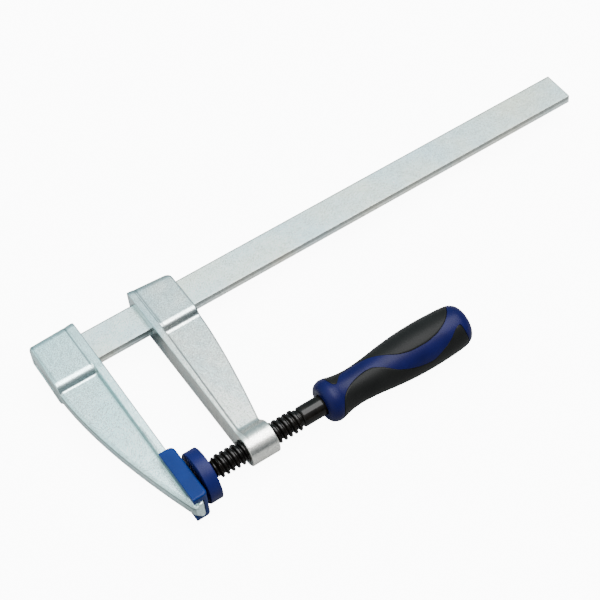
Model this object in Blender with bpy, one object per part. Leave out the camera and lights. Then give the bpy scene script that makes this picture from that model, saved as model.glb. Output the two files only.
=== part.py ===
"""F clamp: flat bar, fixed jaw, sliding jaw with a threaded spindle, swivel pad and two-part handle.

The clamp lies on its side. +X runs along the bar towards its free end, the jaws reach from the bar
towards -Y, and +Z is the normal of the plane that bar and jaws share. The origin is the centre of
the fixed jaw's clamping face, on the spindle's axis, so the spindle's axis is the X axis. Lengths
are metres.
"""

import math

import bmesh
import bpy
from mathutils import Matrix, Vector

MM = 0.001
TURN = 2 * math.pi
GAP = 0.3 * MM  # running or seating gap between neighbouring pieces

# Bar
BAR_WIDTH = 25.0 * MM
BAR_THICKNESS = 7.0 * MM
BAR_LENGTH = 436.4 * MM
BAR_EDGE = 0.6 * MM  # rounding of its edges
THROAT_DEPTH = 117.4 * MM  # from the bar's inner edge to the spindle's axis
BAR_INNER_Y = THROAT_DEPTH
BAR_OUTER_Y = THROAT_DEPTH + BAR_WIDTH

# Castings, common to both jaws
HEAD_HALF = 10.7 * MM  # half of the head's thickness
RIB_HALF = 11.0 * MM  # half of the rib's thickness at the head
WEB_HALF = 5.5 * MM  # half of the arm plate's thickness
HEAD_TOP_Y = BAR_OUTER_Y + 7.0 * MM
STEP_TOP_Y = BAR_INNER_Y - 7.8 * MM  # the head's face ends here
STEP_FOOT_Y = STEP_TOP_Y - 5.2 * MM  # and has come down to the arm plate here
HEAD_EDGE = 2.6 * MM  # rounding of the head's outer edges

# Fixed jaw
FACE_PLATE = 3.7 * MM  # the plastic cap's wall over the clamping face
FIXED_X = -FACE_PLATE - GAP  # the casting's clamping face
FIXED_HEAD_WIDTH = 35.0 * MM
FIXED_TIP_Y = -21.8 * MM
FIXED_RIB_WIDTH = 6.7 * MM
FIXED_RIB_FOOT_Y = FIXED_TIP_Y + 0.8 * MM
FIXED_RIB_TIP_HALF = 7.3 * MM
FIXED_TIP_WIDTH = 10.0 * MM
# (z, inset) of the step along the arm's outer edge
FIXED_SHOULDER = ((3.35 * MM, 0.0), (4.4 * MM, 0.9 * MM), (5.0 * MM, 1.6 * MM), (WEB_HALF, 3.2 * MM))
FIXED_CORNER_CUT = 7.0 * MM  # how far the head's outer top corner is chamfered down
FIXED_CORNER_RUN = 3.0 * MM  # and over which width

# Fixed jaw cap
CAP_TOP_Y = 22.0 * MM
CAP_FOOT_Y = -20.0 * MM
CAP_BACK_X = FIXED_X - 6.8 * MM
CAP_HALF = 13.0 * MM

# Sliding jaw
REST_GAP = 2.1 * MM  # between the swivel pad and the fixed jaw's cap
SLIDING_X = 38.0 * MM  # the sliding jaw's face towards the fixed jaw
SLIDING_HEAD_WIDTH = 34.0 * MM
SLIDING_RIB_WIDTH = 5.5 * MM
SLIDING_RIB_FOOT_HALF = 10.4 * MM
SLIDING_SHOULDER = ((4.4 * MM, 0.0), (5.1 * MM, 0.7 * MM), (WEB_HALF, 1.8 * MM))
BOSS_RADIUS = 11.6 * MM
BOSS_LENGTH = 21.0 * MM
SLIDING_CORNER_RUN = 3.0 * MM
EYE_PLAY_Y = 0.9 * MM
EYE_PLAY_Z = 0.4 * MM

# Spindle
THREAD_RADIUS = 7.9 * MM
ROOT_RADIUS = 5.9 * MM
THREAD_PITCH = 4.0 * MM
THREAD_START_X = 15.0 * MM
THREAD_END_X = 81.0 * MM
SHANK_RADIUS = 7.15 * MM
BALL_X = 9.7 * MM  # centre of the ball end, which the pad tilts about
BALL_RADIUS = 3.9 * MM
NECK_RADIUS = 2.6 * MM
TANG_RADIUS = 5.4 * MM
TANG_END_X = 158.0 * MM

# Swivel pad
PAD_RADIUS = 18.4 * MM
PAD_THICKNESS = 9.1 * MM
PAD_FACE_WALL = 1.8 * MM  # the soft cup's thickness in front of the steel pad
PLATE_RADIUS = 15.7 * MM
HUB_RADIUS = 7.0 * MM
HUB_END_X = 13.7 * MM
SOCKET_RADIUS = BALL_RADIUS + GAP
RING_X = 12.2 * MM
RING_RADIUS = 4.1 * MM
RING_WIRE = 0.6 * MM

# Handle
HANDLE_START_X = 98.5 * MM
HANDLE_LENGTH = 115.0 * MM
PANEL_START = 7.4 * MM  # from the handle's front end
PANEL_END = 108.3 * MM
PANEL_DEPTH = 2.4 * MM
PANEL_CORNER = 5.0 * MM
PANEL_COLUMNS = 8
POCKET_DRAFT = 0.2 * MM
RIBBON_HALF_ANGLE = math.radians(22.5)
RIBBON_MIDDLE = 52.5 * MM
RIBBON_WAVE = 88.0 * MM
RIBBON_SWING = math.radians(35)
RIBBON_LEAN = math.radians(20)

# Outline of the handle: distance from its front end, radius
HANDLE_OUTLINE = (
    (0.0, 11.8),
    (1.0, 13.1),
    (3.0, 14.4),
    (6.0, 15.1),
    (9.0, 14.6),
    (12.5, 13.7),
    (18.0, 12.8),
    (25.0, 12.4),
    (33.0, 12.8),
    (41.0, 13.6),
    (50.0, 14.8),
    (60.0, 15.8),
    (71.0, 16.5),
    (82.0, 16.7),
    (93.0, 16.4),
    (102.0, 15.9),
    (107.5, 15.2),
    (110.5, 14.0),
    (113.0, 11.8),
    (114.4, 8.6),
    (115.0, 4.6),
)


def make_material(name, colour, roughness, metallic):
    material = bpy.data.materials.new(name)
    material.use_nodes = True
    shader = material.node_tree.nodes["Principled BSDF"]
    shader.inputs["Base Color"].default_value = (*colour, 1.0)
    shader.inputs["Roughness"].default_value = roughness
    shader.inputs["Metallic"].default_value = metallic
    return material


def add_object(name, bm, material, pivot=None):
    """A mesh object from bm, with its origin at pivot's own origin when it hangs on one."""
    bmesh.ops.recalc_face_normals(bm, faces=bm.faces)
    offset = pivot.location if pivot else Vector()
    bmesh.ops.translate(bm, verts=bm.verts, vec=-offset)
    mesh = bpy.data.meshes.new(name)
    bm.to_mesh(mesh)
    bm.free()
    mesh.shade_smooth()
    mesh.set_sharp_from_angle(angle=math.radians(35))
    obj = bpy.data.objects.new(name, mesh)
    obj.data.materials.append(material)
    bpy.context.collection.objects.link(obj)
    if pivot:
        obj.parent = pivot
    return obj


def add_pivot(name, location):
    """An empty on a joint's axis; the pieces that move together hang on it."""
    pivot = bpy.data.objects.new(name, None)
    pivot.empty_display_size = 10 * MM
    pivot.location = location
    bpy.context.collection.objects.link(pivot)
    return pivot


def boolean(target, tool_bm, operation, name):
    """Joins tool_bm to target or cuts it away, through a hidden helper object."""
    bmesh.ops.recalc_face_normals(tool_bm, faces=tool_bm.faces)
    mesh = bpy.data.meshes.new(name)
    tool_bm.to_mesh(mesh)
    tool_bm.free()
    tool = bpy.data.objects.new(name, mesh)
    tool.hide_render = True
    tool.display_type = "WIRE"
    bpy.context.collection.objects.link(tool)
    modifier = target.modifiers.new(name, "BOOLEAN")
    modifier.operation = operation
    modifier.object = tool
    modifier.solver = "EXACT"


def prism(outline, half_thickness):
    """A plate on the XY outline. half_thickness(y) is half of its thickness in Z at that y."""
    bm = bmesh.new()
    low = [bm.verts.new((x, y, -half_thickness(y))) for x, y in outline]
    high = [bm.verts.new((x, y, half_thickness(y))) for x, y in outline]
    count = len(outline)
    for i in range(count):
        j = (i + 1) % count
        bm.faces.new((low[i], low[j], high[j], high[i]))
    bmesh.ops.triangulate(bm, faces=[bm.faces.new(low), bm.faces.new(high)])
    return bm


def shouldered_plate(outline_at, shoulder):
    """A plate whose outer edge steps in towards both faces, by the (z, inset) pairs of shoulder."""
    levels = [(-z, inset) for z, inset in reversed(shoulder)] + list(shoulder)
    bm = bmesh.new()
    rings = [[bm.verts.new((x, y, z)) for x, y in outline_at(inset)] for z, inset in levels]
    count = len(rings[0])
    for near, far in zip(rings, rings[1:]):
        for i in range(count):
            j = (i + 1) % count
            bm.faces.new((near[i], near[j], far[j], far[i]))
    bmesh.ops.triangulate(bm, faces=bm.faces, quad_method="SHORT_EDGE")
    bmesh.ops.triangulate(bm, faces=[bm.faces.new(rings[0]), bm.faces.new(rings[-1])])
    return bm


def block(low, high):
    bm = bmesh.new()
    size = [b - a for a, b in zip(low, high)]
    middle = [(a + b) / 2 for a, b in zip(low, high)]
    matrix = Matrix.Translation(middle) @ Matrix.Diagonal((*size, 1))
    bmesh.ops.create_cube(bm, size=1, matrix=matrix)
    return bm


def lathe(profile, segments, closed=False):
    """Turns (x, radius) points about the X axis. closed joins the last point to the first, for a ring."""
    bm = bmesh.new()
    verts = [bm.verts.new((x, 0, r)) for x, r in profile]
    pairs = list(zip(verts, verts[1:]))
    if closed:
        pairs.append((verts[-1], verts[0]))
    edges = [bm.edges.new(pair) for pair in pairs]
    bmesh.ops.spin(
        bm, geom=verts + edges, cent=(0, 0, 0), axis=(1, 0, 0), angle=TURN, steps=segments, use_merge=True
    )
    bmesh.ops.remove_doubles(bm, verts=bm.verts, dist=0.001 * MM)
    return bm


def tube_of_rings(rings):
    """A closed skin through rings of points, each ring having the same number of them."""
    bm = bmesh.new()
    made = [[bm.verts.new(p) for p in ring] for ring in rings]
    count = len(rings[0])
    for near, far in zip(made, made[1:]):
        for i in range(count):
            j = (i + 1) % count
            bm.faces.new((near[i], near[j], far[j], far[i]))
    bmesh.ops.triangulate(bm, faces=bm.faces, quad_method="SHORT_EDGE")
    bm.faces.new(made[0])
    bm.faces.new(made[-1])
    return bm


def arc(centre, radius, start_degrees, end_degrees, count):
    sweep = end_degrees - start_degrees
    steps = [math.radians(start_degrees + sweep * i / count) for i in range(count + 1)]
    return [(centre[0] + radius * math.cos(a), centre[1] + radius * math.sin(a)) for a in steps]


def blend(low, high, share):
    return low + (high - low) * min(max(share, 0.0), 1.0)


# ---------------------------------------------------------------- bar


def make_bar(material):
    start = FIXED_X - FIXED_HEAD_WIDTH + GAP
    low = (start, BAR_INNER_Y, -BAR_THICKNESS / 2)
    high = (start + BAR_LENGTH, BAR_OUTER_Y, BAR_THICKNESS / 2)
    bm = block(low, high)
    bmesh.ops.bevel(bm, geom=bm.edges, offset=BAR_EDGE, segments=2, profile=0.5, affect="EDGES")
    return add_object("bar", bm, material)


# ---------------------------------------------------------------- jaws


def jaw_rib(face_x, width, foot_y, foot_half):
    """The rib along the throat: full height at the head, foot_half at foot_y. width is signed along X."""
    back_x = face_x + width

    def half(y):
        return blend(foot_half, RIB_HALF, (y - foot_y) / (STEP_FOOT_Y - foot_y))

    outline = [(face_x, foot_y), (face_x, STEP_FOOT_Y), (face_x, HEAD_TOP_Y - 0.4 * MM)]
    outline += [(back_x, HEAD_TOP_Y - 0.4 * MM), (back_x, STEP_FOOT_Y), (back_x, foot_y)]
    return prism(outline, half)


def jaw_head(inner_x, outer_x, corner_cut, corner_run):
    """The block around the bar, with a ramp down to the arm plate on both faces.

    Its outer corners are chamfered by corner_cut at the top, fading to nothing at the ramp.
    """
    drop = HEAD_HALF - WEB_HALF
    ramp = STEP_TOP_Y - STEP_FOOT_Y
    side = [(HEAD_TOP_Y, HEAD_HALF - HEAD_EDGE)]
    side += [(HEAD_TOP_Y - HEAD_EDGE * 0.3, HEAD_HALF - HEAD_EDGE * 0.3), (HEAD_TOP_Y - HEAD_EDGE, HEAD_HALF)]
    side += [(STEP_TOP_Y + 1.0 * MM, HEAD_HALF)]
    for i in range(5):
        share = (i + 0.5) / 5
        side.append((STEP_TOP_Y - ramp * share, HEAD_HALF - drop * (3 * share**2 - 2 * share**3)))
    side.append((STEP_FOOT_Y - 1.0 * MM, WEB_HALF - 0.5 * MM))
    loop = side + [(y, -z) for y, z in reversed(side)]
    inward = math.copysign(corner_run, inner_x - outer_x)
    bm = bmesh.new()
    rings = []
    for x, share in ((inner_x, 0), (outer_x + inward, 0), (outer_x + 0.4 * inward, 0.36), (outer_x, 1)):
        ring = []
        for y, z in loop:
            cut = share * corner_cut * blend(0, 1, (y - STEP_FOOT_Y) / (HEAD_TOP_Y - STEP_FOOT_Y))
            ring.append(bm.verts.new((x, y, z - math.copysign(cut, z))))
        rings.append(ring)
    for near, far in zip(rings, rings[1:]):
        for i in range(len(loop)):
            j = (i + 1) % len(loop)
            bm.faces.new((near[i], near[j], far[j], far[i]))
    bmesh.ops.triangulate(bm, faces=bm.faces, quad_method="SHORT_EDGE")
    bmesh.ops.triangulate(bm, faces=[bm.faces.new(rings[0]), bm.faces.new(rings[-1])])
    return bm


def arm_outer_edge(head_x, tip_x, top_y, tip_y, power, inset, count):
    """The arm's curved back edge, from under the head down to the tip, drawn in by inset."""
    points = []
    for i in range(count + 1):
        share = i / count
        x = head_x + (tip_x - head_x) * share**power + math.copysign(inset, tip_x - head_x)
        points.append((x, top_y + (tip_y - top_y) * share))
    return points


def make_fixed_jaw(material):
    back_x = FIXED_X - FIXED_HEAD_WIDTH
    inner_x = FIXED_X - 0.5 * MM
    tip_back_x = FIXED_X - FIXED_TIP_WIDTH

    def outline_at(inset):
        """The arm's side view. Its outer edge and its tip move in by inset, the tip by half of it."""
        left = back_x + inset
        points = [(inner_x, HEAD_TOP_Y - 3 * MM), (left + 1 * MM, HEAD_TOP_Y - 3 * MM)]
        points += [(left, HEAD_TOP_Y - 8 * MM)]
        points += arm_outer_edge(back_x, tip_back_x, STEP_FOOT_Y, -14 * MM, 1.6, inset, 14)
        tip = 5 * MM - inset * 0.5
        points += arc((tip_back_x + 5 * MM + inset * 0.5, FIXED_TIP_Y + 5 * MM), tip, 200, 270, 4)
        points += arc((inner_x - 2.4 * MM, FIXED_TIP_Y + 2.4 * MM + inset * 0.5), 2.4 * MM, 270, 360, 3)
        return points

    jaw = add_object("fixed_jaw", shouldered_plate(outline_at, FIXED_SHOULDER), material)

    head = jaw_head(FIXED_X - 0.25 * MM, back_x + 0.3 * MM, FIXED_CORNER_CUT, FIXED_CORNER_RUN)
    boolean(jaw, head, "UNION", "fixed_head_block")
    rib = jaw_rib(FIXED_X, -FIXED_RIB_WIDTH, FIXED_RIB_FOOT_Y, FIXED_RIB_TIP_HALF)
    boolean(jaw, rib, "UNION", "fixed_rib_block")
    slot = block(
        (back_x - 5 * MM, BAR_INNER_Y - GAP, -BAR_THICKNESS / 2 - GAP),
        (FIXED_X + 5 * MM, BAR_OUTER_Y + GAP, BAR_THICKNESS / 2 + GAP),
    )
    boolean(jaw, slot, "DIFFERENCE", "fixed_bar_slot")
    return jaw


def make_fixed_jaw_cap(material):
    """A channel that clips over the rib at the jaw's tip: clamping wall and two rounded side walls."""
    body = block((CAP_BACK_X, CAP_FOOT_Y, -CAP_HALF), (0, CAP_TOP_Y, CAP_HALF))
    cap = add_object("fixed_jaw_cap", body, material)
    bevel = cap.modifiers.new("rounding", "BEVEL")
    bevel.width = 1.5 * MM
    bevel.segments = 3
    bevel.limit_method = "ANGLE"

    def half(y):
        """Half of the channel's width: the tapered rib's, plus the seating gap."""
        share = (y - FIXED_RIB_FOOT_Y) / (STEP_FOOT_Y - FIXED_RIB_FOOT_Y)
        return GAP + FIXED_RIB_TIP_HALF + (RIB_HALF - FIXED_RIB_TIP_HALF) * share

    low_y = CAP_FOOT_Y - 5 * MM
    high_y = CAP_TOP_Y + 5 * MM
    left_x = CAP_BACK_X - 5 * MM
    right_x = FIXED_X + GAP
    outline = [(left_x, low_y), (right_x, low_y), (right_x, high_y), (left_x, high_y)]
    boolean(cap, prism(outline, half), "DIFFERENCE", "cap_channel")
    return cap


def make_sliding_jaw(material, pivot):
    back_x = SLIDING_X + SLIDING_HEAD_WIDTH
    inner_x = SLIDING_X + 0.5 * MM
    foot_x = SLIDING_X + BOSS_LENGTH - 1 * MM

    def outline_at(inset):
        """The arm's side view, with its outer edge moved in by inset."""
        right = back_x - inset
        points = [(inner_x, HEAD_TOP_Y - 3 * MM), (inner_x, 0.0), (foot_x - inset, 0.0)]
        points += reversed(arm_outer_edge(back_x - 0.2 * MM, foot_x, STEP_FOOT_Y, 9 * MM, 1.45, inset, 10))
        points += [(right, STEP_TOP_Y), (right, HEAD_TOP_Y - 8 * MM), (right - 1 * MM, HEAD_TOP_Y - 3 * MM)]
        return points

    jaw = add_object("sliding_jaw", shouldered_plate(outline_at, SLIDING_SHOULDER), material, pivot)

    head = jaw_head(SLIDING_X + 0.25 * MM, back_x - 0.3 * MM, 0.0, SLIDING_CORNER_RUN)
    boss = lathe(
        [
            (SLIDING_X - 0.15 * MM, 0),
            (SLIDING_X - 0.15 * MM, BOSS_RADIUS - 0.6 * MM),
            (SLIDING_X + 0.5 * MM, BOSS_RADIUS),
            (SLIDING_X + BOSS_LENGTH - 0.8 * MM, BOSS_RADIUS),
            (SLIDING_X + BOSS_LENGTH, BOSS_RADIUS - 0.8 * MM),
            (SLIDING_X + BOSS_LENGTH, 0),
        ],
        40,
    )
    rib = jaw_rib(SLIDING_X, SLIDING_RIB_WIDTH, 2 * MM, SLIDING_RIB_FOOT_HALF)
    eye = block(
        (SLIDING_X - 5 * MM, BAR_INNER_Y - EYE_PLAY_Y, -BAR_THICKNESS / 2 - EYE_PLAY_Z),
        (back_x + 5 * MM, BAR_OUTER_Y + EYE_PLAY_Z, BAR_THICKNESS / 2 + EYE_PLAY_Z),
    )
    bore_radius = THREAD_RADIUS + GAP
    bore = lathe(
        [
            (SLIDING_X - 5 * MM, 0),
            (SLIDING_X - 5 * MM, bore_radius),
            (SLIDING_X + BOSS_LENGTH + 5 * MM, bore_radius),
            (SLIDING_X + BOSS_LENGTH + 5 * MM, 0),
        ],
        32,
    )
    for tool, operation, name in (
        (head, "UNION", "sliding_head_block"),
        (rib, "UNION", "sliding_rib_block"),
        (boss, "UNION", "sliding_boss"),
        (eye, "DIFFERENCE", "sliding_eye"),
        (bore, "DIFFERENCE", "sliding_bore"),
    ):
        boolean(jaw, tool, operation, name)
    return jaw


# ---------------------------------------------------------------- spindle and pad


def thread_height(x, angle):
    """Height of the rounded thread above its root at a point of the spindle."""
    phase = TURN * (x / THREAD_PITCH) - angle
    crest = 0.5 + 0.5 * math.cos(phase)
    run_in = blend(0, 1, min(x - THREAD_START_X, THREAD_END_X - x) / (0.5 * THREAD_PITCH))
    return (THREAD_RADIUS - ROOT_RADIUS) * crest**0.8 * run_in


def make_spindle(material, pivot):
    """Ball end, neck, rolled thread, shank and the tang inside the handle, as one turned piece."""
    columns = 24
    stations = []
    for i in range(9):
        angle = math.radians(8 + i * 16)
        stations.append((BALL_X - BALL_RADIUS * math.cos(angle), BALL_RADIUS * math.sin(angle)))
    stations.append((BALL_X + BALL_RADIUS + 0.2 * MM, NECK_RADIUS))
    stations.append((THREAD_START_X - 0.3 * MM, ROOT_RADIUS - 0.7 * MM))
    steps = round((THREAD_END_X - THREAD_START_X) / THREAD_PITCH * 6)
    for i in range(steps + 1):
        stations.append((THREAD_START_X + (THREAD_END_X - THREAD_START_X) * i / steps, ROOT_RADIUS))
    stations.append((THREAD_END_X + 1.2 * MM, SHANK_RADIUS))
    stations.append((HANDLE_START_X + 8 * MM, SHANK_RADIUS))
    stations.append((HANDLE_START_X + 9 * MM, TANG_RADIUS))
    stations.append((TANG_END_X - 1 * MM, TANG_RADIUS))
    stations.append((TANG_END_X, TANG_RADIUS - 1 * MM))
    rings = []
    for x, radius in stations:
        ring = []
        for j in range(columns):
            angle = TURN * j / columns
            r = radius
            if THREAD_START_X < x < THREAD_END_X:
                r += thread_height(x, angle)
            ring.append((x, r * math.cos(angle), r * math.sin(angle)))
        rings.append(ring)
    return add_object("spindle", tube_of_rings(rings), material, pivot)


def make_pad_ring(material, pivot):
    """Spring wire ring that sits behind the ball and keeps it in the pad's socket."""
    section = arc((RING_X, RING_RADIUS), RING_WIRE, 0, 360, 8)[:-1]
    return add_object("pad_retaining_ring", lathe(section, 24, closed=True), material, pivot)


def make_swivel_pad(material, pivot):
    front_x = REST_GAP + PAD_FACE_WALL + GAP
    back_x = REST_GAP + PAD_THICKNESS - 1.6 * MM
    groove = 5.0 * MM
    profile = [
        (front_x, 0),
        (front_x, PLATE_RADIUS - 0.6 * MM),
        (front_x + 0.6 * MM, PLATE_RADIUS),
        (back_x, PLATE_RADIUS),
        (back_x, HUB_RADIUS + 1 * MM),
        (back_x + 1 * MM, HUB_RADIUS),
        (HUB_END_X - 0.4 * MM, HUB_RADIUS),
        (HUB_END_X, HUB_RADIUS - 0.4 * MM),
        (HUB_END_X, SOCKET_RADIUS),
        (HUB_END_X - 0.5 * MM, SOCKET_RADIUS),
        (HUB_END_X - 0.5 * MM, groove),
        (RING_X - 1.2 * MM, groove),
        (RING_X - 1.2 * MM, SOCKET_RADIUS),
        (BALL_X, SOCKET_RADIUS),
    ]
    for i in range(1, 6):
        angle = math.radians(18 * i)
        profile.append((BALL_X - SOCKET_RADIUS * math.sin(angle), SOCKET_RADIUS * math.cos(angle)))
    profile[-1] = (profile[-1][0], 0)
    return add_object("swivel_pad", lathe(profile, 40), material, pivot)


def make_pad_cap(material, pivot):
    """Soft cup over the steel pad, snapped behind it with a small lip."""
    front_x = REST_GAP
    back_x = REST_GAP + PAD_THICKNESS
    inner_radius = PLATE_RADIUS + GAP
    lip_x = back_x - 1.3 * MM
    edge = 0.7 * MM
    profile = [
        (front_x, 0),
        (front_x, PAD_RADIUS - edge),
        (front_x + 0.3 * edge, PAD_RADIUS - 0.3 * edge),
        (front_x + edge, PAD_RADIUS),
        (back_x - edge, PAD_RADIUS),
        (back_x - 0.3 * edge, PAD_RADIUS - 0.3 * edge),
        (back_x, PAD_RADIUS - edge),
        (back_x, PLATE_RADIUS - 1 * MM),
        (lip_x, PLATE_RADIUS - 1 * MM),
        (lip_x, inner_radius),
        (front_x + PAD_FACE_WALL, inner_radius),
        (front_x + PAD_FACE_WALL, 0),
    ]
    return add_object("pad_cap", lathe(profile, 56), material, pivot)


# ---------------------------------------------------------------- handle


def handle_radius(distance):
    """Radius of the handle at a distance from its front end, read off its outline."""
    points = [(d * MM, r * MM) for d, r in HANDLE_OUTLINE]
    for (d0, r0), (d1, r1) in zip(points, points[1:]):
        if distance <= d1:
            return r0 + (r1 - r0) * (distance - d0) / (d1 - d0)
    return points[-1][1]


def ribbon_centre(distance):
    """Angle of the first ribbon's middle line, which swings to and fro along the handle."""
    return RIBBON_LEAN + RIBBON_SWING * math.sin(TURN * (distance - RIBBON_MIDDLE) / RIBBON_WAVE)


def handle_point(distance, radius, angle):
    """Angle 0 points to +Z and grows towards -Y."""
    return (HANDLE_START_X + distance, -radius * math.sin(angle), radius * math.cos(angle))


def panel_angles(distance, start, end, inset):
    """Angles across a grip panel, from the ribbon's middle line. inset draws its edges in."""
    near = min(distance - start, end - distance)
    short = PANEL_CORNER - min(max(near, 0.0), PANEL_CORNER)
    corner = PANEL_CORNER - math.sqrt(PANEL_CORNER**2 - short**2)
    first = RIBBON_HALF_ANGLE + (inset + corner) / handle_radius(distance)
    last = math.pi - first
    return [first + (last - first) * i / PANEL_COLUMNS for i in range(PANEL_COLUMNS + 1)]


def panel_rows(start, end):
    """Distances along a grip panel, closer together where its corners turn."""
    corner = [0.0, 0.3 * MM, 1.1 * MM, 2.6 * MM]
    first = start + PANEL_CORNER
    last = end - PANEL_CORNER
    steps = 20
    middle = [first + (last - first) * i / steps for i in range(steps + 1)]
    return [start + c for c in corner] + middle + [end - c for c in reversed(corner)]


def make_handle_core(material, pivot):
    """The hard core with its two ribbons; the pockets between them take the grip panels."""
    rows = [(d * MM, False) for d, _ in HANDLE_OUTLINE if d * MM < PANEL_START]
    rows += [(PANEL_START - POCKET_DRAFT, False)]
    rows += [(d, True) for d in panel_rows(PANEL_START, PANEL_END)]
    rows += [(PANEL_END + POCKET_DRAFT, False)]
    rows += [(d * MM, False) for d, _ in HANDLE_OUTLINE if d * MM > PANEL_END + POCKET_DRAFT]
    rings = []
    for distance, in_pocket in rows:
        turn = ribbon_centre(distance)
        radius = handle_radius(distance)
        rim = panel_angles(distance, PANEL_START, PANEL_END, 0)
        floor = panel_angles(distance, PANEL_START, PANEL_END, POCKET_DRAFT)
        depth = PANEL_DEPTH + GAP if in_pocket else 0
        ring = []
        for side in (turn, turn + math.pi):
            for share in (-1.0, -0.33, 0.33, 1.0):
                ring.append(handle_point(distance, radius, side + share * rim[0]))
            ring += [handle_point(distance, radius - depth, side + a) for a in floor]
        rings.append(ring)
    core = add_object("handle_core", tube_of_rings(rings), material, pivot)

    x = HANDLE_START_X
    bore = lathe(
        [
            (x - 5 * MM, 0),
            (x - 5 * MM, SHANK_RADIUS + GAP),
            (x + 8 * MM + GAP, SHANK_RADIUS + GAP),
            (x + 9 * MM + GAP, TANG_RADIUS + GAP),
            (TANG_END_X + 1 * MM, TANG_RADIUS + GAP),
            (TANG_END_X + 1 * MM, 0),
        ],
        24,
    )
    boolean(core, bore, "DIFFERENCE", "handle_bore")
    return core


def make_grip_panel(name, half_turn, material, pivot):
    """A soft panel that fills one pocket of the core, flush with the ribbons."""
    start = PANEL_START + GAP
    end = PANEL_END - GAP
    rings = []
    for distance in panel_rows(start, end):
        turn = ribbon_centre(distance) + half_turn
        radius = handle_radius(distance)
        angles = panel_angles(distance, start, end, GAP + POCKET_DRAFT)
        outer = [handle_point(distance, radius, turn + a) for a in angles]
        inner = [handle_point(distance, radius - PANEL_DEPTH, turn + a) for a in reversed(angles)]
        rings.append(outer + inner)
    return add_object(name, tube_of_rings(rings), material, pivot)


# ---------------------------------------------------------------- assembly


def main():
    for obj in list(bpy.data.objects):
        bpy.data.objects.remove(obj, do_unlink=True)

    bar_steel = make_material("bar_zinc", (0.69, 0.72, 0.70), 0.42, 0.75)
    cast_zinc = make_material("cast_zinc", (0.66, 0.70, 0.70), 0.48, 0.75)
    black_steel = make_material("black_oxide", (0.012, 0.012, 0.013), 0.28, 0.4)
    spring_steel = make_material("spring_steel", (0.45, 0.45, 0.46), 0.35, 0.9)
    cap_blue = make_material("cap_blue", (0.008, 0.075, 0.33), 0.38, 0.0)
    pad_violet = make_material("pad_violet", (0.035, 0.05, 0.27), 0.45, 0.0)
    handle_blue = make_material("handle_blue", (0.022, 0.04, 0.25), 0.40, 0.0)
    grip_black = make_material("grip_black", (0.016, 0.017, 0.018), 0.55, 0.0)

    make_bar(bar_steel)
    make_fixed_jaw(cast_zinc)
    make_fixed_jaw_cap(cap_blue)

    slide = add_pivot("jaw_slide_pivot", (SLIDING_X, BAR_INNER_Y, 0))
    feed = add_pivot("spindle_feed_pivot", (RING_X, 0, 0))
    turn = add_pivot("spindle_turn_pivot", (BALL_X, 0, 0))
    tilt = add_pivot("pad_tilt_pivot", (BALL_X, 0, 0))

    make_sliding_jaw(cast_zinc, slide)
    make_pad_ring(spring_steel, feed)
    make_spindle(black_steel, turn)
    make_handle_core(handle_blue, turn)
    make_grip_panel("grip_panel_front", 0, grip_black, turn)
    make_grip_panel("grip_panel_rear", math.pi, grip_black, turn)
    make_swivel_pad(black_steel, tilt)
    make_pad_cap(pad_violet, tilt)


main()
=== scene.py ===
import math

import bmesh
import bpy
import numpy as np
from mathutils import Matrix, Vector


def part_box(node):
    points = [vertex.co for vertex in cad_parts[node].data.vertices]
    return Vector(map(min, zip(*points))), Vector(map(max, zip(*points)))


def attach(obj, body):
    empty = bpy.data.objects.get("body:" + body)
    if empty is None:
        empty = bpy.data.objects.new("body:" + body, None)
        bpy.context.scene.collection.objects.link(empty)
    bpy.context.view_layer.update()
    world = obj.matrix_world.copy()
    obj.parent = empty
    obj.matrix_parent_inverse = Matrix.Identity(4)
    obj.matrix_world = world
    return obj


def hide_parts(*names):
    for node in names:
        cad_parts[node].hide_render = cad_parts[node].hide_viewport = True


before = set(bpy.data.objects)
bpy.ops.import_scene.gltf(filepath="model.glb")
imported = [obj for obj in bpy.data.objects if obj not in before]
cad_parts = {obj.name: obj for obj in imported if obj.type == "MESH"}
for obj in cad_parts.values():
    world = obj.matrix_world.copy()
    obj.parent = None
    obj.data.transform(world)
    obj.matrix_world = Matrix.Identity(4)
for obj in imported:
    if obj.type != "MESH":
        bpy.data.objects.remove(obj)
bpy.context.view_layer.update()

TURN = 2 * math.pi
MM = 0.001

# ---------------------------------------------------------------- shapes as distance fields (millimetres)


def smooth_max(a, b, k):
    """The larger of two fields, rounded over a width k where they meet: a rounded outer edge."""
    h = np.maximum(k - np.abs(a - b), 0) / k
    return np.maximum(a, b) + h * h * k / 4


def smooth_min(a, b, k):
    """The smaller of two fields, filleted over a width k where they meet."""
    return -smooth_max(-a, -b, k)


def ease(t):
    """Level at both ends, from 0 to 1."""
    t = np.clip(t, 0, 1)
    return t * t * (3 - 2 * t)


def rise(t):
    """Starts steeply and ends level, from 0 to 1."""
    t = np.clip(t, 0, 1)
    return t * (2 - t)


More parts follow.
